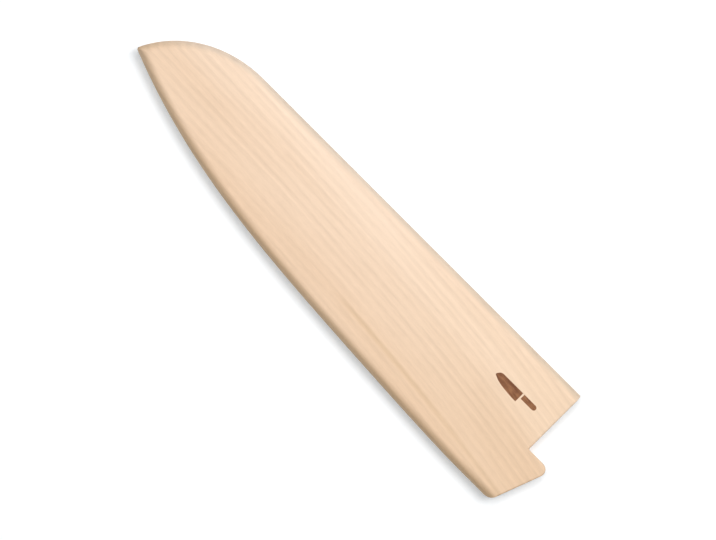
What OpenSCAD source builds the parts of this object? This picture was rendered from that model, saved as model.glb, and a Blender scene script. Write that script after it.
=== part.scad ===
// Wooden blade guard for a kitchen knife.
// Two face boards are glued to a core that is sawn out to the blade's outline, which leaves the slot.
// Pairs of disc magnets let into the boards' inner faces hold the blade in place.
// Frame: +X from the tip towards the mouth, +Y towards the spine side, +Z out of the front face.
// The guard lies on its rear face, and the origin is under the middle of its length and height.

/* [Overall] */
// Length from the tongue's end to the tip
guard_len = 230; // [200:1:260]
// Height from the spine side to the edge side
guard_h = 54; // [50:1:62]
// Thickness of each face board
board_t = 4.8; // [4.6:0.1:7]
// Width of the rounded side along the spine, the tip and the edge, seen from the front
side_w = 4; // [2:0.25:5]

/* [Tip] */
// How far the tip lies below the spine side
tip_drop = 26.5; // [22:0.5:32]
// Length over which the spine side drops to the tip
drop_run = 44; // [34:1:56]
// Angle at which the spine side comes down to the tip
drop_angle = 67; // [55:1:80]
// Angle at which the edge side reaches the tip
rise_angle = 28; // [20:1:34]
// Straight stretch of the edge side at the heel, from the tongue's end
heel_flat = 23; // [20:1:60]
// Radius of the corner at the tip
tip_r = 1; // [0.5:0.25:2]

/* [Mouth] */
// How far the tongue reaches past the mouth wall
tongue_len = 11; // [8:0.5:18]
// Height of the notch for the handle, from the spine side
notch_h = 28.7; // [24:0.1:32]
// Slant of the tongue's end
tongue_slant = 19; // [0:1:24]
// Radius of the tongue's corner in the notch
tongue_r = 3; // [1:0.5:4]
// Radius of the tongue's corner at the edge side
heel_r = 4; // [1:0.5:6]

/* [Blade slot] */
// Thickness of the core, which is the slot's width: the thickest blade and its clearance
slot_w = 4.4; // [4.2:0.1:5]
// Wood left round the slot at the spine, the tip and the edge
rim_w = 4; // [3:0.25:6]
// Radius of the cutter that works out the core
cutter_r = 3; // [1.5:0.5:5]
// Lead-in chamfer where the slot comes out at the mouth
lead_in = 0.8; // [0.4:0.1:1.2]

/* [Magnets] */
// Diameter of a disc magnet
magnet_d = 10; // [6:1:12]
// Thickness of a disc magnet
magnet_t = 2; // [1.5:0.1:2.5]
// Chamfer round a magnet's two faces
magnet_chamfer = 0.3; // [0.1:0.1:0.5]
// Glue clearance round a magnet in its pocket
magnet_gap = 0.1; // [0.05:0.05:0.2]
// How far a magnet's face lies under the board's inner face
magnet_sink = 0.2; // [0.1:0.05:0.4]
// Distance of the first magnet from the mouth wall
magnet_first = 28; // [20:1:36]
// Distance from one magnet to the next along the slot
magnet_pitch = 58; // [45:1:62]
// Distance of the magnets from the spine side
magnet_from_spine = 17; // [13:0.5:20]

/* [Hidden] */

// Colours of the wood and of the nickel plate
board_wood = [0.94, 0.82, 0.69];
core_wood = [0.88, 0.74, 0.58];
nickel = [0.78, 0.78, 0.76];

// Steps of the curves, and the overlap that keeps cuts clean
drop_steps = 16;
rise_steps = 32;
round_steps = 7;
corner_steps = 4;
spill = 1;
layer = 0.01;
$fn = 48;

// Main lines of the outline, seen from the front
mouth_end = guard_len / 2;
tip_x = -guard_len / 2;
spine_y = guard_h / 2;
edge_y = -guard_h / 2;
core_z = board_t;
front_z = board_t + slot_w;
half_t = board_t + slot_w / 2;
mouth_x = mouth_end - tongue_len;
step_y = spine_y - notch_h;

// The two sides meet at a sharp corner, which its round brings back to tip_x
corner_half = (drop_angle + rise_angle) / 2;
corner_lean = (drop_angle - rise_angle) / 2;
corner_back = tip_r * (cos(corner_lean) / sin(corner_half) - 1);
corner = [tip_x - corner_back, spine_y - tip_drop];

// Share of a curve's length that its end handles take
drop_pull = 0.44;
rise_pull = 0.23;
drop_start = [corner.x + drop_run, spine_y];
rise_end = [mouth_end - heel_flat, edge_y];
rise_run = rise_end.x - corner.x;

drop_curve = [
    drop_start,
    drop_start - [drop_pull * drop_run, 0],
    corner + drop_pull * drop_run * [cos(drop_angle), sin(drop_angle)],
    corner
];
rise_curve = [
    corner,
    corner + rise_pull * rise_run * [cos(rise_angle), -sin(rise_angle)],
    rise_end - [rise_pull * rise_run, 0],
    rise_end
];

// The slab runs on past the tongue, so that the slot's own end stays outside it
slab_end = mouth_end + rim_w + cutter_r + spill;

// Corners of the tongue: each round's centre, and the way its slanted end faces
slant_out = [cos(tongue_slant), -sin(tongue_slant)];
tongue_c = [mouth_end - tongue_r, step_y - tongue_r];
slant_reach = tongue_c * slant_out + tongue_r - heel_r;
heel_c = [
    (slant_reach + (edge_y + heel_r) * sin(tongue_slant)) / cos(tongue_slant),
    edge_y + heel_r
];

// Length of the slanted end between the tongue's round in the notch and the slot's edge
slant_run = (tongue_c.y - tongue_r * sin(tongue_slant) - edge_y - rim_w) / cos(tongue_slant);

// The side is rounded from face to face, in half an oval whose middle is the core's
// The core takes its share of the oval, up to this angle
core_angle = asin(slot_w / 2 / half_t);

// Magnet places, from the heel to the tip
magnet_x = [for (i = [0:2]) mouth_x - magnet_first - i * magnet_pitch];
magnet_y = spine_y - magnet_from_spine;

function bezier(p, u) =
    pow(1 - u, 3) * p[0] + 3 * u * pow(1 - u, 2) * p[1]
    + 3 * u * u * (1 - u) * p[2] + pow(u, 3) * p[3];

function along(p, steps) = [for (i = [0:steps]) bezier(p, i / steps)];

// How far the rounded side lies behind its fullest line at an angle of the oval
function side_inset(a) = side_w * (1 - cos(a));

function arc(centre, r, from, to) = [
    for (i = [0:corner_steps])
        let (a = from + (to - from) * i / corner_steps)
            centre + r * [cos(a), sin(a)]
];

// Outer outline of the guard without its notch, with the tip's corner rounded
module outline() {
    offset(r = tip_r)
        offset(delta = -tip_r)
            polygon(concat(
                [[slab_end, spine_y]],
                along(drop_curve, drop_steps),
                along(rise_curve, rise_steps),
                [[slab_end, edge_y]]
            ));
}

// What stays of the wood at the mouth: the wall, the notch and the slanted tongue
module mouth_profile() {
    polygon(concat(
        [[tip_x - spill, edge_y - spill], [heel_c.x, edge_y - spill]],
        arc(heel_c, heel_r, -90, -tongue_slant),
        arc(tongue_c, tongue_r, -tongue_slant, 0),
        arc(tongue_c, tongue_r, 0, 90),
        [[mouth_x, step_y], [mouth_x, spine_y + spill], [tip_x - spill, spine_y + spill]]
    ));
}

// Keeps of its children what lies inside the mouth's profile
module cut_at_mouth(height) {
    intersection() {
        children();
        translate([0, 0, -spill]) linear_extrude(height + 2 * spill) mouth_profile();
    }
}

// One thin slice of the guard at an angle of the oval
module slice(a) {
    linear_extrude(layer) offset(delta = -side_inset(a)) outline();
}

// A board with its inner face at z = 0, rounded all the way to its outer face
module rounded_slab() {
    hull() {
        slice(core_angle);
        for (i = [1:round_steps])
            let (a = core_angle + (90 - core_angle) * i / round_steps)
                translate([0, 0, half_t * sin(a) - slot_w / 2 - layer]) slice(a);
    }
}

// The core before it is sawn out, fullest at its middle
module core_slab() {
    hull()
        for (i = [0:2])
            translate([0, 0, (slot_w - layer) * i / 2]) slice((i - 1) * core_angle);
}

// Path of the cutter, which follows the outline at the rim's width
module slot_outline() {
    offset(r = cutter_r)
        offset(delta = -rim_w - cutter_r)
            outline();
}

// Section of the lead-in chamfer, with the mouth's face at x = shift
module lead_in_section(shift) {
    translate([shift, 0])
        polygon([[-lead_in, -spill], [-lead_in, 0], [spill, lead_in + spill], [spill, -spill]]);
}

// Straight chamfer from the origin along -Y, for a face that looks along +X
module lead_in_cut(run) {
    rotate([90, 0, 0]) linear_extrude(run) lead_in_section(0);
}

// Chamfers of a board's inner face along the mouth wall, the step and the tongue's end
module lead_in_cuts() {
    translate([mouth_x, spine_y - rim_w, 0])
        lead_in_cut(notch_h - rim_w);
    translate([mouth_x - lead_in, step_y, 0])
        rotate([0, 0, 90])
            lead_in_cut(tongue_c.x - mouth_x + lead_in);
    translate([tongue_c.x, tongue_c.y, 0])
        rotate([0, 0, -tongue_slant])
            rotate_extrude(angle = 90 + tongue_slant)
                lead_in_section(tongue_r);
    translate([tongue_c.x, tongue_c.y, 0])
        rotate([0, 0, -tongue_slant])
            translate([tongue_r, 0, 0])
                lead_in_cut(slant_run);
}

// Blind pocket for one magnet in a board's inner face
module magnet_pocket(x) {
    translate([x, magnet_y, -spill])
        cylinder(r = magnet_d / 2 + magnet_gap, h = spill + magnet_sink + magnet_t);
}

// A face board, with its inner face at z = 0 and its outer face up
module face_board() {
    difference() {
        cut_at_mouth(board_t) rounded_slab();
        lead_in_cuts();
        for (x = magnet_x) magnet_pocket(x);
    }
}

// Disc magnet with its small factory chamfers, standing on z = 0
module disc_magnet() {
    r = magnet_d / 2;
    c = magnet_chamfer;
    rotate_extrude()
        polygon([[0, 0], [r - c, 0], [r, c], [r, magnet_t - c], [r - c, magnet_t], [0, magnet_t]]);
}

module front_board() {
    color(board_wood) translate([0, 0, front_z]) face_board();
}

module rear_board() {
    color(board_wood) translate([0, 0, core_z]) mirror([0, 0, 1]) face_board();
}

// The core: a strip along the spine, the tip and the edge, open at the mouth
module core_frame() {
    color(core_wood)
        translate([0, 0, core_z])
            difference() {
                cut_at_mouth(slot_w) core_slab();
                translate([0, 0, -spill]) linear_extrude(slot_w + 2 * spill) slot_outline();
            }
}

module front_magnet(i) {
    color(nickel) translate([magnet_x[i], magnet_y, front_z + magnet_sink]) disc_magnet();
}

module rear_magnet(i) {
    color(nickel) translate([magnet_x[i], magnet_y, core_z - magnet_sink - magnet_t]) disc_magnet();
}

module front_magnet_heel() front_magnet(0);
module front_magnet_middle() front_magnet(1);
module front_magnet_tip() front_magnet(2);
module rear_magnet_heel() rear_magnet(0);
module rear_magnet_middle() rear_magnet(1);
module rear_magnet_tip() rear_magnet(2);

front_board();
core_frame();
rear_board();
front_magnet_heel();
front_magnet_middle();
front_magnet_tip();
rear_magnet_heel();
rear_magnet_middle();
rear_magnet_tip();
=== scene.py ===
# %% [markdown]
# # Dressing a wooden blade guard
#
# This lesson gives a wooden guard for a kitchen knife its final surfaces. The model of the guard
# is loaded first. It has every piece at its real size, but in flat colours and small facets. The loaded
# pieces are never moved: each one is hidden behind a finer mesh that is built in its place.
#
# On the real guard, two face boards are glued to a core that is sawn out to the blade's outline. The
# core leaves the slot for the blade, and disc magnets let into the boards hold the blade there.

# %% Load the model
import math

import bmesh
import bpy
import numpy as np
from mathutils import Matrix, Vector


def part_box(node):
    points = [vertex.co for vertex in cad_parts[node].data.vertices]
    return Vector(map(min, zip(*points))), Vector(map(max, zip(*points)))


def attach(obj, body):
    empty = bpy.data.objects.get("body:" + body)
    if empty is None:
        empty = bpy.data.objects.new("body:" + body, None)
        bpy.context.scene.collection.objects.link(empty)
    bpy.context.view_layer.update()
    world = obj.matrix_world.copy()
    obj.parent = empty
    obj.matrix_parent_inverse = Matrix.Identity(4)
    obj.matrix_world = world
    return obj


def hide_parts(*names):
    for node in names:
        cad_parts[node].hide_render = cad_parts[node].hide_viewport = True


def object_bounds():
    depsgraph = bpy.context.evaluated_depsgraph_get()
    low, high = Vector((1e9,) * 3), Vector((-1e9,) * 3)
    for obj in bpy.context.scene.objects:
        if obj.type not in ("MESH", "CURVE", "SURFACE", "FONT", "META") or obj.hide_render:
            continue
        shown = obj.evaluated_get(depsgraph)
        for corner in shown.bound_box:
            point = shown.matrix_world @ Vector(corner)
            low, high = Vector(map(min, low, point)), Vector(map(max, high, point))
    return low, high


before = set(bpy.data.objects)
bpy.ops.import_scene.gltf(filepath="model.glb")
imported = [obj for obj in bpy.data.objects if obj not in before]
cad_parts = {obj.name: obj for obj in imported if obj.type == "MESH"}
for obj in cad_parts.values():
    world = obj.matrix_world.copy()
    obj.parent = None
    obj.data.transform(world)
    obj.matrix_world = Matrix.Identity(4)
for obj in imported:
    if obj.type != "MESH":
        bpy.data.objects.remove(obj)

mm = 0.001
cad_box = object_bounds()
print("box of the model in mm:", [[round(c / mm, 2) for c in corner] for corner in cad_box])

# %% [markdown]
# ## Sizes of the guard
#
# The places of the layers and the magnets are read from the loaded model's boxes. The rest are the few
# sizes that shape the outline: how the spine side drops to the tip, how the belly comes back from it,
# and how the mouth is cut. Most have the values that the model was made from, so that the finer meshes
# fall on it. The drop, the belly, the notch and the tongue's end follow the real guard a little more
# closely than the model does, and lie up to 0.7 mm inside it. X runs from the tip to the mouth, Y
# towards the spine side, and Z out of the front.

# %% Read the layers from the model
rear_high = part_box("rear_board")[1]
front_low, front_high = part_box("front_board")
board_t = front_high.z - front_low.z
core_t = front_low.z - rear_high.z
spine_y = cad_box[1].y
edge_y = cad_box[0].y
mouth_end = cad_box[1].x
print(f"boards {board_t / mm:.1f} mm, core {core_t / mm:.1f} mm, height {(spine_y - edge_y) / mm:.1f} mm")

# %% Sizes that shape the outline and the mouth
tip_x = cad_box[0].x
guard_len = mouth_end - tip_x
tip_drop = 26.5 * mm
drop_run = 44 * mm
drop_angle = math.radians(66)
belly_angle = math.radians(21.8)
heel_flat = 23 * mm
tip_r = 1 * mm
side_w = 4 * mm
tongue_len = 11 * mm
notch_h = 29.1 * mm
slant = math.radians(20.5)
tongue_r = 3 * mm
heel_r = 4 * mm
rim_w = 4 * mm
cutter_r = 3 * mm
lead_in = 0.8 * mm
mouth_x = mouth_end - tongue_len
step_y = spine_y - notch_h
print(f"mouth wall at x {mouth_x / mm:.1f} mm, step of the notch at y {step_y / mm:.1f} mm")

# %% [markdown]
# ## The two curves that meet at the tip
#
# Seen from the front, the outline runs straight along the spine, drops in a round curve to the tip, and
# comes back along the belly in a long flat one. Both are Bezier curves, like those of Blender's own
# curve objects, and the belly has one handle more in its middle, because it bends most there. A curve
# object could be filled and bevelled, but its bevel swells and folds at a sharp tip. Here the curves are
# worked out in code, so that each slice of the rounded side can lie a known distance inside them, and
# the two sides can be made to meet exactly.

# %% Ends of the drop and the belly
def heading(angle, length=1.0):
    """A step of that length in the direction of the angle, counted from the X axis."""
    return length * np.array([math.cos(angle), math.sin(angle)])


corner_half = (drop_angle + belly_angle) / 2
corner_lean = (drop_angle - belly_angle) / 2
corner_back = tip_r * (math.cos(corner_lean) / math.sin(corner_half) - 1)
corner = np.array([tip_x - corner_back, spine_y - tip_drop])
drop_start = np.array([corner[0] + drop_run, spine_y])
belly_end = np.array([mouth_end - heel_flat, edge_y])
belly_run = belly_end[0] - corner[0]
print("tip's corner at", np.round(corner / mm, 2), "mm")

# %% Handles of the two curves
spine_handle = 0.47 * drop_run
drop_tip_handle = 0.385 * drop_run
belly_tip_handle = 0.34 * belly_run
heel_handle = 0.196 * belly_run
belly_middle = np.array([0.2, -20]) * mm
drop = [
    drop_start,
    drop_start - heading(0, spine_handle),
    corner + heading(drop_angle, drop_tip_handle),
    corner,
]
belly = [
    corner,
    corner + heading(-belly_angle, belly_tip_handle),
    belly_middle,
    belly_end - heading(0, heel_handle),
    belly_end,
]
print(f"handles of the drop {spine_handle / mm:.1f} and {drop_tip_handle / mm:.1f} mm")
print(f"handles of the belly {belly_tip_handle / mm:.1f} and {heel_handle / mm:.1f} mm")

# %% A point inside a curve
def weighted(points, share):
    """The Bezier point of that share: each point pulls most while the share passes it."""
    last = len(points) - 1
    weights = [math.comb(last, i) * share**i * (1 - share) ** (last - i) for i in range(last + 1)]
    return sum(w * p for w, p in zip(weights, points))


def inside(curve, share, inset):
    """The point at that share of the curve, moved square off it into the wood by inset."""
    way = weighted(list(np.diff(curve, axis=0)), share)
    way = way / np.linalg.norm(way)
    return weighted(curve, share) + inset * np.array([-way[1], way[0]])


print("middle of the belly at", np.round(inside(belly, 0.5, 0) / mm, 2), "mm")

# %% [markdown]
# ## Where the two sides meet
#
# Moved into the wood, the two curves cross a little before their ends. Newton's method finds the
# crossing: it looks at the gap between one point on each curve, at how the gap changes as each point
# moves, and takes the step that would close it. A few such steps close it almost fully, and twenty are
# taken to be safe.

# %% Find the crossing of the drop and the belly
first_guess = [0.9, 0.03]
nudge = 1e-6
newton_steps = 20


def crossing(inset):
    """Shares of the drop and of the belly at which the two, moved in by inset, cross."""
    shares = np.array(first_guess)
    for _ in range(newton_steps):
        on_drop = inside(drop, shares[0], inset)
        on_belly = inside(belly, shares[1], inset)
        drop_slope = (inside(drop, shares[0] + nudge, inset) - on_drop) / nudge
        belly_slope = (on_belly - inside(belly, shares[1] + nudge, inset)) / nudge
        slopes = np.column_stack([drop_slope, belly_slope])
        shares = shares - np.linalg.solve(slopes, on_drop - on_belly)
    return shares


print(f"the sides cross {side_w / mm:.0f} mm in at shares", np.round(crossing(side_w), 3))

# %% [markdown]
# ## From spine to heel in one line
#
# The long rounded side is one line of points: down the drop, round the tip and along the belly. The
# points are spread evenly, because long and short faces side by side catch the light differently.

# %% Arcs and even spacing
def arc(centre, radius, start, end, steps):
    """Points on a round from one angle to another."""
    return [np.array(centre) + heading(a, radius) for a in np.linspace(start, end, steps + 1)]


def spread(points, count):
    """The same line with that many points, evenly spaced."""
    points = np.array(points)
    lengths = np.linalg.norm(np.diff(points, axis=0), axis=1)
    run = np.concatenate([[0.0], np.cumsum(lengths)])
    places = np.linspace(0, run[-1], count)
    xs = np.interp(places, run, points[:, 0])
    ys = np.interp(places, run, points[:, 1])
    return list(np.column_stack([xs, ys]))


print("a full round in 6 steps has", len(arc([0, 0], tip_r, 0, 2 * math.pi, 6)), "points")

# %% The long side, from the spine round the tip to the edge
drop_points = 40
belly_points = 90
tip_steps = 8
fine_drop = 200
fine_belly = 400


def long_side(inset, round_r):
    """The long side, moved in by inset, with its tip rounded to that radius."""
    drop_share, belly_share = crossing(inset + round_r)
    drop_shares = np.linspace(0, drop_share, fine_drop)
    belly_shares = np.linspace(belly_share, 1, fine_belly)
    dropped = spread([inside(drop, s, inset) for s in drop_shares], drop_points)
    returned = spread([inside(belly, s, inset) for s in belly_shares], belly_points)
    centre = inside(drop, drop_share, inset + round_r)
    start = math.atan2(*(dropped[-1] - centre)[::-1])
    end = math.atan2(*(returned[0] - centre)[::-1]) + 2 * math.pi
    return dropped + arc(centre, round_r, start, end, tip_steps)[1:-1] + returned


print("points on the long side:", len(long_side(0, tip_r)))

# %% [markdown]
# ## The mouth
#
# The mouth is sawn square: a wall that the knife's handle comes up against, a notch, and a tongue below
# it with a slanted end that covers the blade's heel. Its corners are softened by hand with sandpaper.
# The round of the tongue at the edge side needs the most care, because there the end meets the rounded
# side, and the corner between the two climbs from nothing to a right angle.

# %% Places on the tongue
slant_out = heading(-slant)
tongue_c = np.array([mouth_end - tongue_r, step_y - tongue_r])
slant_reach = tongue_c @ slant_out + tongue_r - heel_r
heel_y = edge_y + heel_r
heel_c = np.array([(slant_reach + heel_y * math.sin(slant)) / math.cos(slant), heel_y])


def on_slant(y, inset):
    """The point at height y on the tongue's slanted end, moved in by inset."""
    return np.array([heel_c[0] + (heel_r - inset + (y - heel_y) * math.sin(slant)) / math.cos(slant), y])


print("round of the heel centred at", np.round(heel_c / mm, 2), "mm")

# %% The softened corner at the heel
soft_r = 0.4 * mm
soft_steps = 4
turn_steps = 24
rim_points = 14
least_gap = 0.05 * mm
slot_low = edge_y + rim_w
slot_high = spine_y - rim_w


def heel_corner(side, wall):
    """Centre of the softened corner between side and tongue's end, and the way the end faces there."""
    y = edge_y + side + soft_r
    reach = heel_r - wall - soft_r
    sine = (y - heel_y) / reach
    if sine < -math.sin(slant):
        facing = math.asin(max(sine, -1.0))
        return heel_c + heading(facing, reach), facing
    return on_slant(y, wall + soft_r), -slant


def heel_line(side, wall):
    """The corner at the heel and the tongue's end up to the slot's lower side."""
    centre, facing = heel_corner(side, wall)
    soft = arc(centre, soft_r, -math.pi / 2, facing, soft_steps)
    turn = soft[-1:]
    if facing < -slant:
        turn = arc(heel_c, heel_r - wall, facing, -slant, turn_steps)
    stop = on_slant(max(slot_low, soft[-1][1] + least_gap), wall)
    return soft + spread(turn + [stop], rim_points)[1:]


print("points on the heel:", len(heel_line(0, 0)))

# %% [markdown]
# ## One slice of a face board
#
# A board is built like the hull of a boat, from slices at rising heights. All slices have the same
# number of points, so that each point joins the one above it. Three distances shape a slice: how far
# the long side, the mouth's wall, and the mouth where the slot opens have drawn back. The last is the
# lead-in, a chamfer that guides the blade's edge into the slot.

# %% One slice
notch_r = 0.6 * mm
tongue_steps = 12
tip_soft_r = 0.6 * mm


def slice_line(side, wall, slot):
    """Outline of a board, drawn back by side, by wall at the mouth, and by slot where the slot opens."""
    spine_corner = [mouth_x - wall - soft_r, spine_y - side - soft_r]
    notch_corner = [mouth_x - slot + notch_r, step_y - slot + notch_r]
    high = min(slot_high, spine_corner[1] - least_gap)
    line = arc(spine_corner, soft_r, 0, math.pi / 2, soft_steps)
    line += long_side(side, max(tip_r - side, tip_soft_r))
    line += heel_line(side, wall)
    line += [on_slant(line[-1][1], slot)]
    line += arc(tongue_c, tongue_r - slot, -slant, math.pi / 2, tongue_steps)
    line += arc(notch_corner, notch_r, 1.5 * math.pi, math.pi, soft_steps)
    line += [np.array([mouth_x - slot, high]), np.array([mouth_x - wall, high])]
    return line


print("points on a slice:", len(slice_line(0, 0, 0)))

# %% [markdown]
# ## How the slices change with height
#
# Seen from its end, each side of the guard is half of an oval, fullest in the middle of the core and
# round to both faces, because the glued guard is shaped as one. The mouth's outer edge has only a small
# round from sanding. A groove as fine as a hair stays where a board meets the core, which is what shows
# a glue line on real wood.

# %% Distances at each height
half_t = board_t + core_t / 2
edge_r = 0.8 * mm
seam = 0.06 * mm


def side_inset(level):
    """How far the side lies behind its fullest line, at a level over the middle of the core."""
    return side_w * (1 - math.sqrt(max(1 - (level / half_t) ** 2, 0.0)))


def edge_inset(height):
    """How far the mouth's sanded edge has drawn back, at a height over the board's glued face."""
    up = max(height - board_t + edge_r, 0.0)
    return edge_r - math.sqrt(max(edge_r**2 - up**2, 0.0))


def slice_at(height):
    """The slice of a board at a height over its glued face."""
    groove = max(seam - height, 0.0)
    wall = groove + edge_inset(height)
    slot = max(wall, lead_in - height)
    return slice_line(groove + side_inset(height + core_t / 2), wall, slot)


print("the side has drawn back", round(side_inset(core_t / 2) / mm, 2), "mm at the glued face")

# %% Heights of the slices
side_slices = 22
edge_slices = 8
side_angles = np.linspace(0, math.pi / 2, side_slices)
edge_angles = np.linspace(0, math.pi / 2, edge_slices)
side_heights = [half_t * math.sin(a) - core_t / 2 for a in side_angles]
edge_heights = [board_t - edge_r + edge_r * math.sin(a) for a in edge_angles]
heights = [0.0, seam, lead_in]
heights += [h for h in side_heights if lead_in + least_gap < h < edge_heights[0] - least_gap]
heights += edge_heights
print("slices at", [round(h / mm, 2) for h in heights], "mm")

# %% [markdown]
# ## Skinning the slices
#
# BMesh builds a mesh vertex by vertex. Each slice becomes a ring, and each pair of rings a band of
# faces. Where two points of a slice fall together, they share one vertex, so that the band closes
# there without a face of no width.

# %% Rings and bands
same_place = 1e-7


def ring_of(bm, line, height):
    """Vertices along a closed line. Points that fall together share a vertex."""
    ring = []
    for x, y in line:
        place = Vector((x, y, height))
        if ring and (ring[-1].co - place).length < same_place:
            ring.append(ring[-1])
        else:
            ring.append(bm.verts.new(place))
    return ring


def band(bm, low, high, finish=0):
    """Faces between two rings of equal count."""
    for i in range(len(low)):
        j = (i + 1) % len(low)
        around = list(dict.fromkeys([low[i], low[j], high[j], high[i]]))
        if len(around) > 2:
            bm.faces.new(around).material_index = finish


print("points closer than", same_place / mm, "mm share a vertex")

# %% Flat faces with holes
def cover(bm, rings, finish=0):
    """Fills the flat space between closed rings, so that inner rings stay open as holes."""
    edges = []
    for ring in rings:
        turned = ring[1:] + ring[:1]
        for v, w in zip(ring, turned):
            if v is not w:
                edges.append(bm.edges.get((v, w)) or bm.edges.new((v, w)))
    made = bmesh.ops.triangle_fill(bm, use_beauty=True, edges=edges)
    for face in (f for f in made["geom"] if isinstance(f, bmesh.types.BMFace)):
        face.material_index = finish


def sink(bm, line, opening, floor, finish=0):
    """A recess with that outline, open at one height and closed at the other. Gives its open ring."""
    rim = ring_of(bm, line, opening)
    bottom = ring_of(bm, line, floor)
    band(bm, rim, bottom, finish)
    cover(bm, [bottom], finish)
    return rim


print("rings can be joined, covered and sunk")

# %% [markdown]
# ## From mesh to piece
#
# Every piece is finished in the same way. Its faces are turned outwards and shaded smooth, edges of
# more than 30 degrees stay crisp, and the Weighted Normal modifier lets the large flat faces keep their
# flatness next to the rounds. Then the piece is tied to the guard's body and takes over from the
# loaded piece that it stands for.

# %% Finish a piece
crisp_angle = math.radians(30)


def finished(name, bm, stands_for):
    """Turns a finished BMesh into the piece that takes over from the loaded one."""
    bmesh.ops.recalc_face_normals(bm, faces=bm.faces)
    mesh = bpy.data.meshes.new(name)
    bm.to_mesh(mesh)
    bm.free()
    for face in mesh.polygons:
        face.use_smooth = True
    mesh.set_sharp_from_angle(angle=crisp_angle)
    piece = bpy.data.objects.new(name, mesh)
    bpy.context.scene.collection.objects.link(piece)
    smoothing = piece.modifiers.new("flat faces stay flat", "WEIGHTED_NORMAL")
    smoothing.keep_sharp = True
    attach(piece, "root")
    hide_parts(stands_for)
    print(f"{name}: {len(mesh.vertices)} vertices, {len(mesh.polygons)} faces")
    return piece


print("edges stay crisp over", round(math.degrees(crisp_angle)), "degrees")

# %% [markdown]
# ## Where the magnets go
#
# The magnets are flat discs, pressed into blind pockets with a drop of glue before the guard is closed.
# Their places, diameter and thickness come from the loaded model, and the pockets are a little wider
# and deeper than the discs.

# %% Magnets and pockets
magnet_names = ["magnet_heel", "magnet_middle", "magnet_tip"]
glue_gap = 0.1 * mm
magnet_boxes = {n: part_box(n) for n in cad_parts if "magnet" in n}
magnet_r = (magnet_boxes["front_magnet_heel"][1].x - magnet_boxes["front_magnet_heel"][0].x) / 2
pocket_depth = magnet_boxes["front_magnet_heel"][1].z - front_low.z
magnet_places = [(sum(magnet_boxes["front_" + n], Vector()) / 2).to_2d() for n in magnet_names]
print("magnets at", [[round(c / mm, 1) for c in place] for place in magnet_places], "mm")

# %% [markdown]
# ## A small burnt sign
#
# Near the mouth, the front board carries a small picture burnt into the wood. It shows a plain kitchen
# knife, with its blade towards the tip and its back towards the spine side, which is the way a blade
# goes into the guard. It could be painted on with a texture. Here it is a shallow recess in the mesh,
# because a burnt sign really is sunk, and its rim then catches light from any side.

# %% Outlines of the sign
sign_x = 80.5 * mm
sign_y = 9.6 * mm
sign_depth = 0.15 * mm
blade_len = 13 * mm
blade_h = 4.4 * mm
handle_gap = 0.75 * mm
handle_len = 7.2 * mm
handle_h = 2.2 * mm
blade_points = 90
handle_steps = 12


def sign_blade():
    """The guard's own outline made small, with the sign's blade as long and high as it should be."""
    points = spread(long_side(0, tip_r), blade_points)
    stretch = np.array([blade_len / guard_len, blade_h / (spine_y - edge_y)])
    small = [np.array([sign_x, sign_y]) + p * stretch for p in points]
    back_x = sign_x + blade_len / 2
    return [np.array([back_x, small[0][1]])] + small + [np.array([back_x, small[-1][1]])]


def sign_handle():
    """A bar with a round end, level with the blade's back."""
    start = sign_x + blade_len / 2 + handle_gap
    top = sign_y + blade_h / 2
    end_r = handle_h / 2
    end = [start + handle_len - end_r, top - end_r]
    front = [np.array([start, top]), np.array([start, top - handle_h])]
    return front + arc(end, end_r, -math.pi / 2, math.pi / 2, handle_steps)


print("the sign is", round((blade_len + handle_gap + handle_len) / mm, 1), "mm long")

# %% [markdown]
# ## The face boards
#
# Both boards have the same shape and face each other like a pair of hands. The function below builds a
# board from its glued face to its outer face. The rear board is the same build with its heights
# counted downwards.

# %% Build a face board
pocket_points = 64
burnt_finish = 1


def face_board(name, glued_z, rise, sign_lines):
    """A face board with its glued face at glued_z. Its heights are counted up or down by rise, 1 or -1."""
    bm = bmesh.new()
    rings = [ring_of(bm, slice_at(h), glued_z + rise * h) for h in heights]
    for low, high in zip(rings, rings[1:]):
        band(bm, low, high)
    pockets = []
    for place in magnet_places:
        line = arc(place, magnet_r + glue_gap, 0, 2 * math.pi, pocket_points)[:-1]
        pockets.append(sink(bm, line, glued_z, glued_z + rise * pocket_depth))
    cover(bm, [rings[0]] + pockets)
    outer_z = glued_z + rise * board_t
    sign_floor = outer_z - rise * sign_depth
    signs = [sink(bm, line, outer_z, sign_floor, burnt_finish) for line in sign_lines]
    cover(bm, [rings[-1]] + signs)
    return finished(name, bm, name.replace("dressed_", ""))


print("slices in a board:", len(heights))

# %% Front and rear board
front_board = face_board("dressed_front_board", front_low.z, 1, [sign_blade(), sign_handle()])
rear_board = face_board("dressed_rear_board", rear_high.z, -1, [])

# %% [markdown]
# ## The core
#
# The core is a frame only 4 mm wide, sawn from a thin board along the inside of the outline and open at
# the mouth. Its outer line is the boards' own line. Its inner line is the slot, with the round that the
# cutter leaves at the tip.

# %% Build the core
core_slices = 7


def core_line(height):
    """Closed outline of the core: along the outside to the heel, and back along the slot."""
    groove = max(seam - min(height, core_t - height), 0.0)
    side = groove + side_inset(height - core_t / 2)
    spine_corner = [mouth_x - groove - soft_r, spine_y - side - soft_r]
    line = [np.array([mouth_x - groove, slot_high])]
    line += arc(spine_corner, soft_r, 0, math.pi / 2, soft_steps)
    line += long_side(side, max(tip_r - side, tip_soft_r))
    line += heel_line(side, groove)
    line += long_side(rim_w, cutter_r)[::-1]
    return line


core_heights = [0.0, *np.linspace(seam, core_t - seam, core_slices), core_t]
bm = bmesh.new()
core_rings = [ring_of(bm, core_line(h), rear_high.z + h) for h in core_heights]
for low, high in zip(core_rings, core_rings[1:]):
    band(bm, low, high)
cover(bm, [core_rings[0]])
cover(bm, [core_rings[-1]])
core = finished("dressed_core_frame", bm, "core_frame")

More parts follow.
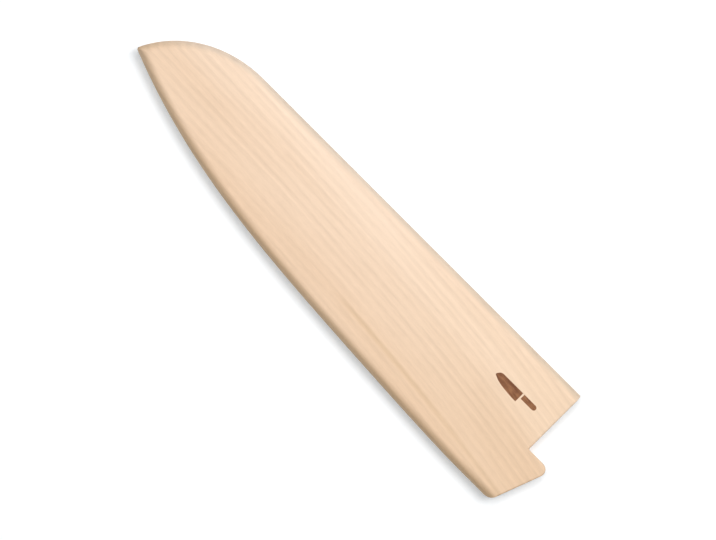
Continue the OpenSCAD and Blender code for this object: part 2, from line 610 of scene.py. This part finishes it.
# %% [markdown]
# ## The magnets
#
# A pressed magnet has softly rounded rims, because its nickel plate won't hold on a sharp one. A disc
# is a stack of circles, so the same rings and bands serve again.

# %% Build the magnets
magnet_edge_r = 0.3 * mm
circle_points = 72
rim_circles = 6
rim_angles = np.linspace(0, math.pi / 2, rim_circles)


def disc(name, low, high):
    """A disc between two heights with rounded rims, standing where the loaded magnet is."""
    centre = ((low + high) / 2).to_2d()
    flat_r = magnet_r - magnet_edge_r
    rim = [(1 - math.sin(a), flat_r + magnet_edge_r * math.cos(a)) for a in rim_angles]
    lower = [(low.z + magnet_edge_r * share, r) for share, r in rim[::-1]]
    upper = [(high.z - magnet_edge_r * share, r) for share, r in rim]
    bm = bmesh.new()
    rings = []
    for z, r in lower + upper:
        circle = arc(centre, r, 0, 2 * math.pi, circle_points)[:-1]
        rings.append(ring_of(bm, circle, z))
    for below, above in zip(rings, rings[1:]):
        band(bm, below, above)
    bm.faces.new(rings[0])
    bm.faces.new(rings[-1])
    return finished(name, bm, name.replace("dressed_", ""))


magnets = [disc("dressed_" + n, *box) for n, box in sorted(magnet_boxes.items())]

# %% [markdown]
# ## Small helpers for materials
#
# A material is a tree of nodes. These helpers keep the recipes short: one adds a node and fills its
# inputs from values or from other nodes, one does arithmetic, and one mixes two colours. Colours are
# written as they look on a screen, from 0 to 255, and turned into the light values that Blender uses.
# The Mix node has sockets for numbers, vectors and colours side by side, so its colour sockets are
# picked by their places. A texture is stretched along the grain by dividing a place by the sizes of the
# marks that it should give, in mm along X, Y and Z.

# %% Colours and nodes
def paint(red, green, blue):
    """A screen colour as Blender's linear light."""
    shares = [c / 255 for c in (red, green, blue)]
    return [s / 12.92 if s <= 0.04045 else ((s + 0.055) / 1.055) ** 2.4 for s in shares] + [1.0]


def blank(kind, name):
    """A new material or world with an empty tree."""
    made = kind.new(name)
    made.use_nodes = True
    made.node_tree.nodes.clear()
    return made


def add(tree, kind, inputs, **settings):
    """Adds a node. Each input is filled with a value, or joined to another node's output."""
    made = tree.nodes.new(kind)
    for name, value in settings.items():
        setattr(made, name, value)
    for name, value in inputs.items():
        if isinstance(value, bpy.types.NodeSocket):
            tree.links.new(value, made.inputs[name])
        else:
            made.inputs[name].default_value = value
    return made


def maths(tree, operation, a, b=0.0):
    """One step of arithmetic on values or on other nodes' outputs."""
    return add(tree, "ShaderNodeMath", {0: a, 1: b}, operation=operation).outputs[0]


def ranged(tree, value, low, high, to_low=0.0, to_high=1.0, ease="SMOOTHSTEP"):
    """Carries a value from one range into another, and holds it at the ends."""
    inputs = {"Value": value, "From Min": low, "From Max": high, "To Min": to_low, "To Max": to_high}
    return add(tree, "ShaderNodeMapRange", inputs, interpolation_type=ease).outputs[0]


print("a screen colour of 235 is", round(paint(235, 235, 235)[0], 3), "of full light")

# %% Mixing two colours
mix_share = 0
mix_first = 6
mix_second = 7
mix_result = 2


def blend_colours(tree, share, first, second, way="MIX"):
    """Mixes two colours: a share of 0 gives the first, and 1 the second."""
    inputs = {mix_share: share, mix_first: first, mix_second: second}
    made = add(tree, "ShaderNodeMix", inputs, data_type="RGBA", blend_type=way)
    return made.outputs[mix_result]


print("colour sockets of the Mix node:", mix_first, "and", mix_second)

# %% Textures
def noise(tree, vector, scale=1.0, detail=2.0, roughness=0.5):
    """Soft cloudy values round a half."""
    inputs = {"Vector": vector, "Scale": scale, "Detail": detail, "Roughness": roughness}
    return add(tree, "ShaderNodeTexNoise", inputs).outputs[0]


def stretched(tree, x, y, z, sizes):
    """A place measured in steps of the given sizes, which stretches a texture along the longest one."""
    parts = [maths(tree, "DIVIDE", part, size) for part, size in zip((x, y, z), sizes)]
    return add(tree, "ShaderNodeCombineXYZ", dict(enumerate(parts))).outputs[0]


def swing(tree, place, sizes, reach, detail=1.0):
    """Stretched noise that swings round zero, by up to about a quarter of reach to each side."""
    value = noise(tree, stretched(tree, *place, sizes), detail=detail)
    return maths(tree, "MULTIPLY", maths(tree, "SUBTRACT", value, 0.5), reach)


print("textures can be stretched along the grain")

# %% [markdown]
# ## Wood from the inside out
#
# A picture of wood wrapped round a board looks wrong at every edge, because the lines of real wood are
# growth rings that run through it. So the rings are made first, as shells round a pith that lies far
# outside the board, and the surface shows whatever rings it cuts. On the faces that gives fine, nearly
# straight lines about 3 mm apart. They climb towards the spine on their way to the tip, fastest near
# the mouth, because the blank was sawn a little across the grain.

# %% Rings that run through a board
ring_gap = 3.05
climb = 8.0
bend = 9.0
bend_power = 3.5
sway = 1.6
sway_size = (85, 45, 45)
wobble = 0.25
wobble_size = (10, 4, 4)
year_scale = 0.35
year_reach = 0.6


def ring_place(tree, pith, shift):
    """A place in mm inside a board, with y straightened along the grain, and the count of rings there."""
    pith_y, pith_z = pith
    spot = add(tree, "ShaderNodeTexCoord", {}).outputs["Object"]
    spot = add(tree, "ShaderNodeVectorMath", {0: spot, "Scale": 1 / mm}, operation="SCALE").outputs[0]
    apart = add(tree, "ShaderNodeSeparateXYZ", {0: spot}).outputs
    share = ranged(tree, apart[0], tip_x / mm, mouth_end / mm, ease="LINEAR")
    x, y, z = maths(tree, "ADD", apart[0], shift), apart[1], apart[2]
    moves = [
        maths(tree, "MULTIPLY", share, climb),
        maths(tree, "MULTIPLY", maths(tree, "POWER", share, bend_power), bend),
        swing(tree, (x, y, z), sway_size, sway),
        swing(tree, (x, y, z), wobble_size, wobble),
    ]
    for move in moves:
        y = maths(tree, "ADD", y, move)
    across = maths(tree, "SUBTRACT", y, pith_y)
    above = maths(tree, "SUBTRACT", z, pith_z)
    squares = [maths(tree, "MULTIPLY", way, way) for way in (across, above)]
    radius = maths(tree, "SQRT", maths(tree, "ADD", *squares))
    # rings that are cut aslant show further apart on a face than they lie in the tree
    gap = ring_gap * abs(pith_y) / math.hypot(pith_y, pith_z)
    rings = maths(tree, "DIVIDE", radius, gap)
    years = maths(tree, "SUBTRACT", noise(tree, rings, year_scale), 0.5)
    return (x, y, z), maths(tree, "ADD", rings, maths(tree, "MULTIPLY", years, year_reach))


print("rings", ring_gap, "mm apart on the faces")

# %% [markdown]
# ## The look of the grain
#
# Within each ring the wood darkens softly towards its late wood, and pales again to the ring's end. Not
# every year gives a line of the same strength, and a line fades in and out along the board. The tone
# also wanders from ring to ring, and over the lines lie fine fibres and short flecks. All of this
# changes the tone by a few parts in a hundred only, because pale, close-grained wood is almost plain.
# Each effect is a number that swings round zero, so that they can simply be added up.

# %% Late wood in each ring
darkest = 0.6
weakest_line = 0.6
weakest_stretch = 0.5
stretch_size = (13, 1.5, 1.5)
stretch_range = (0.35, 0.6)


def late_lines(tree, place, rings):
    """Late wood, from 0 between the lines to 1 on a strong one."""
    year = maths(tree, "FRACT", rings)
    rise = ranged(tree, year, 0.0, darkest)
    fall = ranged(tree, year, darkest, 1.0, 1.0, 0.0)
    luck = add(tree, "ShaderNodeTexWhiteNoise", {"W": maths(tree, "FLOOR", rings)}, noise_dimensions="1D")
    strong = ranged(tree, luck.outputs[0], 0.0, 1.0, weakest_line, 1.0, ease="LINEAR")
    patches = noise(tree, stretched(tree, *place, stretch_size))
    fading = ranged(tree, patches, *stretch_range, weakest_stretch, 1.0)
    line = maths(tree, "MULTIPLY", rise, fall)
    return maths(tree, "MULTIPLY", line, maths(tree, "MULTIPLY", strong, fading))


print("a ring is darkest", darkest, "of the way through it")

# %% How dark the grain is at a place
year_tone = 0.05
year_tone_scale = 0.7
late_tone = -0.08
late_mean = 0.27
fibre_tones = [((40, 1.1, 1.1), 0.06), ((14, 0.7, 0.7), 0.08), ((3, 0.4, 0.4), 0.1)]


def grain_tone(tree, place, rings, late, depth):
    """Factor on the wood's brightness. A depth of 1 is this pale wood, and more is livelier grain."""
    years = maths(tree, "SUBTRACT", noise(tree, rings, year_tone_scale, detail=1.0), 0.5)
    lates = maths(tree, "SUBTRACT", late, late_mean)
    parts = [
        maths(tree, "MULTIPLY", years, year_tone * depth),
        maths(tree, "MULTIPLY", lates, late_tone * depth),
    ]
    parts += [swing(tree, place, sizes, reach * depth) for sizes, reach in fibre_tones]
    tone = 1.0
    for part in parts:
        tone = maths(tree, "ADD", tone, part)
    return tone


print("kinds of fibres and flecks:", len(fibre_tones))

# %% [markdown]
# ## Tone of the ends, and painted shade and light on the sides
#
# Where the saw cut across the fibres the wood drinks more oil and is darker and warmer. The rounded side
# along the belly faces away from the lamps, and has painted shade: it is a little darker and warmer than
# the faces. The one along the spine faces the lamps, and has painted light: it is paler and cooler. The
# surface's own direction says which side it is: the faces look along Z, and the mouth along X. Towards
# the mouth the whole tone is a little darker and warmer.
#
# Pale wood often has a darker streak that follows the grain, where the tree took up minerals. On the
# front it runs low down, faint at the heel and stronger towards the middle, where it fades out. The
# places in these cells are in mm.

# %% A mineral streak
streak_tone = (0.935, 0.92, 0.865, 1.0)
streak_full = 0.2
streak_gone = 1.5
streak_rise = (4, 22)
streak_fall = (40, 95)
streak_at_heel = 0.5


def streak_at(tree, x, y, streak_y):
    """Share of a dark streak that runs along the straightened grain at streak_y."""
    off = maths(tree, "ABSOLUTE", maths(tree, "SUBTRACT", y, streak_y))
    across = ranged(tree, off, streak_full, streak_gone, 1.0, 0.0)
    grows = ranged(tree, x, *streak_rise)
    fades = ranged(tree, x, *streak_fall, 1.0, streak_at_heel)
    return maths(tree, "MULTIPLY", across, maths(tree, "MULTIPLY", grows, fades))


print("the streak is up to", 2 * streak_gone, "mm wide")

# %% Tones of the ends, painted shade and painted light
# painted shade on the belly's rounded side, and painted light on the spine's
belly_painted_shade = (0.885, 0.855, 0.74, 1.0)
belly_shade_y = (20, -10)
spine_painted_light = (0.955, 1.0, 1.04, 1.0)
spine_light_y = (5, 25)
side_facing = (1.0, 0.5)
end_tone = (0.88, 0.81, 0.73, 1.0)
end_facing = (0.7, 1.0)
# a darker, warmer tone towards the mouth
mouth_end_tone = (0.94, 0.91, 0.85, 1.0)
mouth_end_x = (5, 113)


def stained_and_shaded(tree, colour, place, shift, streak_y):
    """The colour with the end grain's tone, the painted shade and light of the sides, the darker tone
    towards the mouth and the streak over it.
    """
    normal = add(tree, "ShaderNodeTexCoord", {}).outputs["Normal"]
    facing = add(tree, "ShaderNodeSeparateXYZ", {0: normal}).outputs
    painted_side_share = ranged(tree, maths(tree, "ABSOLUTE", facing[2]), *side_facing)
    end_cut = ranged(tree, maths(tree, "ABSOLUTE", facing[0]), *end_facing)
    x = maths(tree, "SUBTRACT", place[0], shift)
    stains = [
        # painted shade on the belly side, painted light on the spine side
        (maths(tree, "MULTIPLY", painted_side_share, ranged(tree, place[1], *belly_shade_y)), belly_painted_shade),
        (maths(tree, "MULTIPLY", painted_side_share, ranged(tree, place[1], *spine_light_y)), spine_painted_light),
        (end_cut, end_tone),
        (ranged(tree, x, *mouth_end_x, ease="LINEAR"), mouth_end_tone),
        (streak_at(tree, x, place[1], streak_y), streak_tone),
    ]
    for share, stain in stains:
        colour = blend_colours(tree, share, colour, blend_colours(tree, 1.0, colour, stain, "MULTIPLY"))
    return colour


print("end grain has", end_tone[2], "of the face's blue")

# %% [markdown]
# ## The whole recipe
#
# Each board is a little paler towards its spine side, where the lamps hang: this is painted light. Broad
# clouds lie over that. Grain, stains, and the painted shade and light of the sides change this colour. The
# lines of late wood lie a trace lower than the rest, which the bump shows, and brighter places are a
# little
# smoother: the wood is oiled but not polished. Every piece of wood has its own pith and its own place
# along the tree, so that no two show the same lines.

# %% Recipe for wood
painted_light_y = (-24, 34)
painted_light_share = 0.9
cloud_size = (110, 16, 16)
cloud_reach = 0.9
cloud_detail = 1.5
tone_range = (0.95, 1.05)
rough_range = (0.66, 0.54)
tone_height = 4.0
grain_depth = 0.02 * mm


def wood(name, pale, warm, pith, shift, depth, streak_y):
    """Wood between two colours, cut from its own place in the tree."""
    material = blank(bpy.data.materials, name)
    tree = material.node_tree
    place, rings = ring_place(tree, pith, shift)
    late = late_lines(tree, place, rings)
    # painted light: paler towards the spine side, where the lamps hang
    painted_light_lean = ranged(tree, place[1], *painted_light_y, 0.0, painted_light_share, ease="LINEAR")
    share = maths(tree, "ADD", painted_light_lean, swing(tree, place, cloud_size, cloud_reach, cloud_detail))
    share = maths(tree, "MINIMUM", maths(tree, "MAXIMUM", share, 0.0), 1.0)
    tone = grain_tone(tree, place, rings, late, depth)
    colour = blend_colours(tree, 1.0, blend_colours(tree, share, warm, pale), tone, "MULTIPLY")
    colour = stained_and_shaded(tree, colour, place, shift, streak_y)
    height = maths(tree, "SUBTRACT", maths(tree, "MULTIPLY", tone, tone_height), late)
    bump = add(tree, "ShaderNodeBump", {"Strength": 0.35, "Distance": grain_depth, "Height": height})
    roughness = ranged(tree, tone, *tone_range, *rough_range, ease="LINEAR")
    inputs = {"Base Color": colour, "Roughness": roughness, "Normal": bump.outputs[0], "IOR": 1.45}
    shader = add(tree, "ShaderNodeBsdfPrincipled", inputs)
    shader.inputs["Specular IOR Level"].default_value = 0.35
    add(tree, "ShaderNodeOutputMaterial", {"Surface": shader.outputs[0]})
    print(f"{name}: {len(tree.nodes)} nodes")
    return material


# %% Wood for the three layers
face_paints = (paint(252, 225, 199), paint(237, 204, 172))
core_paints = (paint(243, 211, 177), paint(230, 195, 157))
front_pith = (-190, -70)
rear_pith = (-150, 95)
core_pith = (120, 60)
front_wood = wood("front_board_wood", *face_paints, front_pith, shift=0.0, depth=1.0, streak_y=-6.7)
rear_wood = wood("rear_board_wood", *face_paints, rear_pith, shift=400.0, depth=1.0, streak_y=9.0)
core_wood = wood("core_wood", *core_paints, core_pith, shift=900.0, depth=1.3, streak_y=33.0)

# %% [markdown]
# ## The burnt sign's finish
#
# Burnt wood is brown rather than black when a fine tool passes over it quickly. The brown is uneven,
# because hard late wood chars less than the soft wood between, and it is quite matt.

# %% Burnt wood
char_fibre = (5, 0.3, 0.3)
char_patch = (3, 1.5, 1.5)
char_range = (0.75, 1.25)
char_depth = 0.04 * mm
deep_char = paint(118, 72, 44)
light_char = paint(158, 108, 72)


def burnt(name):
    """Charred wood that keeps the front board's grain."""
    material = blank(bpy.data.materials, name)
    tree = material.node_tree
    place = ring_place(tree, front_pith, 0.0)[0]
    fibre = noise(tree, stretched(tree, *place, char_fibre), detail=3.0)
    patch = noise(tree, stretched(tree, *place, char_patch), detail=2.0)
    share = ranged(tree, maths(tree, "ADD", fibre, patch), *char_range)
    colour = blend_colours(tree, share, deep_char, light_char)
    bump = add(tree, "ShaderNodeBump", {"Strength": 0.5, "Distance": char_depth, "Height": fibre})
    inputs = {"Base Color": colour, "Roughness": 0.85, "Normal": bump.outputs[0]}
    shader = add(tree, "ShaderNodeBsdfPrincipled", inputs)
    add(tree, "ShaderNodeOutputMaterial", {"Surface": shader.outputs[0]})
    return material


burnt_wood = burnt("burnt_wood")
print("burnt wood is ready")

# %% [markdown]
# ## Nickel
#
# The magnets are seen only through the slot. They are plated with satin nickel, a warm grey metal. A
# little unevenness in the roughness keeps a flat disc from looking like a mirror.

# %% Nickel plate
cloud_scale = 900.0
cloud_range = (0.3, 0.7)
satin_range = (0.24, 0.38)
grit_scale = 6000.0
grit_depth = 0.005 * mm
dull_nickel = paint(206, 202, 192)
bright_nickel = paint(224, 221, 214)


def nickel(name):
    """Satin metal with soft clouds in its tone and shine."""
    material = blank(bpy.data.materials, name)
    tree = material.node_tree
    spot = add(tree, "ShaderNodeTexCoord", {}).outputs["Object"]
    cloud = noise(tree, spot, cloud_scale, detail=3.0)
    grit = noise(tree, spot, grit_scale, detail=2.0)
    colour = blend_colours(tree, cloud, dull_nickel, bright_nickel)
    roughness = ranged(tree, cloud, *cloud_range, *satin_range, ease="LINEAR")
    bump = add(tree, "ShaderNodeBump", {"Strength": 0.2, "Distance": grit_depth, "Height": grit})
    inputs = {"Base Color": colour, "Metallic": 1.0, "Roughness": roughness, "Normal": bump.outputs[0]}
    shader = add(tree, "ShaderNodeBsdfPrincipled", inputs)
    add(tree, "ShaderNodeOutputMaterial", {"Surface": shader.outputs[0]})
    return material


nickel_plate = nickel("nickel_plate")
print("nickel plate is ready")

# %% [markdown]
# ## Finishes on the pieces
#
# A piece's finishes are counted from 0, and every face carries the number of its own. The front board
# has two: its wood comes first, and the faces of the sign were given number 1 when they were built.

# %% Give each piece its finish
finishes = [
    (front_board, front_wood),
    (front_board, burnt_wood),
    (rear_board, rear_wood),
    (core, core_wood),
]
finishes += [(magnet, nickel_plate) for magnet in magnets]
for piece, finish in finishes:
    piece.data.materials.append(finish)
print("finishes given:", len(finishes))

# %% [markdown]
# ## Table and light
#
# The guard is photographed from straight above on white. Two soft lamps light it, and a tenth of the
# light comes evenly from the whole room. The lamps stand a little towards the spine side, so that side is
# bright, and the belly and the mouth fall into shade. To the camera and to reflections, the table adds
# some light of its own, so that it shows as white without lighting the guard, and still keeps the
# guard's shadow. That light is cool, to make up for the warm light that the wood throws on the table.
# Away from the guard the table fades into plain white, so that it has no edge from any side.

# %% What the camera and reflections see
def looked_at(tree):
    """1 for a look by the camera, in a reflection or through glass, and 0 for light that is thrown."""
    ray = add(tree, "ShaderNodeLightPath", {}).outputs
    direct = maths(tree, "MAXIMUM", ray["Is Camera Ray"], ray["Is Glossy Ray"])
    return maths(tree, "MAXIMUM", direct, ray["Is Transmission Ray"])


print("the table's and the room's own light can be kept off the guard")

# %% White table
table_size = 8.0
table_tone = paint(235, 235, 235)
table_glow = (0.262, 0.295, 0.32, 1.0)
fade_from = 0.2
fade_to = 0.6
bpy.ops.mesh.primitive_plane_add(size=table_size)
table = bpy.context.object
table.name = "table"
table_paint = blank(bpy.data.materials, "white_table")
table_tree = table_paint.node_tree
seen = looked_at(table_tree)
matt = add(table_tree, "ShaderNodeBsdfDiffuse", {"Color": table_tone})
glow = add(table_tree, "ShaderNodeEmission", {"Color": table_glow, "Strength": seen})
near = add(table_tree, "ShaderNodeAddShader", {0: matt.outputs[0], 1: glow.outputs[0]})
spot = add(table_tree, "ShaderNodeTexCoord", {}).outputs["Object"]
off_middle = add(table_tree, "ShaderNodeVectorMath", {0: spot}, operation="LENGTH").outputs["Value"]
far = maths(table_tree, "MULTIPLY", ranged(table_tree, off_middle, fade_from, fade_to), seen)
white = add(table_tree, "ShaderNodeEmission", {"Strength": 1.0})
whole = add(table_tree, "ShaderNodeMixShader", {0: far, 1: near.outputs[0], 2: white.outputs[0]})
add(table_tree, "ShaderNodeOutputMaterial", {"Surface": whole.outputs[0]})
table.data.materials.append(table_paint)
print("table of", table_size, "m, plain white from", fade_to, "m off its middle")

# %% Even light from the room
room_light = 0.1
room = blank(bpy.data.worlds, "room")
bpy.context.scene.world = room
room_tree = room.node_tree
strength = ranged(room_tree, looked_at(room_tree), 0.0, 1.0, room_light, 1.0, ease="LINEAR")
sky = add(room_tree, "ShaderNodeBackground", {"Strength": strength})
sky.inputs["Color"].default_value = (1.0, 1.0, 1.0, 1.0)
add(room_tree, "ShaderNodeOutputWorld", {"Surface": sky.outputs[0]})
print("room light", room_light)

# %% Two soft lamps
lamp_up = 1.9


def soft_lamp(name, x, y, width, length, power):
    """A flat lamp that hangs level and shines down."""
    lamp = bpy.data.lights.new(name, "AREA")
    lamp.shape = "RECTANGLE"
    lamp.size = width
    lamp.size_y = length
    lamp.energy = power
    hung = bpy.data.objects.new(name, lamp)
    hung.location = (x, y, lamp_up)
    bpy.context.scene.collection.objects.link(hung)
    print(f"{name}: {width} by {length} m, {power} W")


soft_lamp("lamp_by_the_spine", x=0.32, y=0.71, width=0.55, length=0.86, power=21.9)
soft_lamp("lamp_by_the_tip", x=-0.31, y=0.22, width=0.43, length=1.45, power=17.9)

# %% [markdown]
# ## The camera
#
# The camera looks straight down, turned by 45 degrees, so that the guard lies slanted in the picture
# with its tip up on the left. A long lens keeps the outline free of perspective. The picture covers 280
# by 211 mm at the height where the guard's sides are fullest.

# %% Camera
picture_width = 280.2 * mm
picture_x = 7.49 * mm
picture_y = 0.28 * mm
picture_turn = math.radians(45)
lens = 200.0
camera = bpy.data.cameras.new("camera")
camera.lens = lens
camera.sensor_width = 36.0
camera.clip_start = 0.01
camera.clip_end = 50.0
widest_z = front_high.z - half_t
camera_object = bpy.data.objects.new("camera", camera)
bpy.context.scene.collection.objects.link(camera_object)
camera_up = picture_width * lens / camera.sensor_width
camera_object.location = (picture_x, picture_y, widest_z + camera_up)
camera_object.rotation_euler = (0.0, 0.0, picture_turn)
bpy.context.scene.camera = camera_object
bpy.context.scene.view_settings.view_transform = "Standard"
print("camera", round(camera_up, 3), "m above the guard")
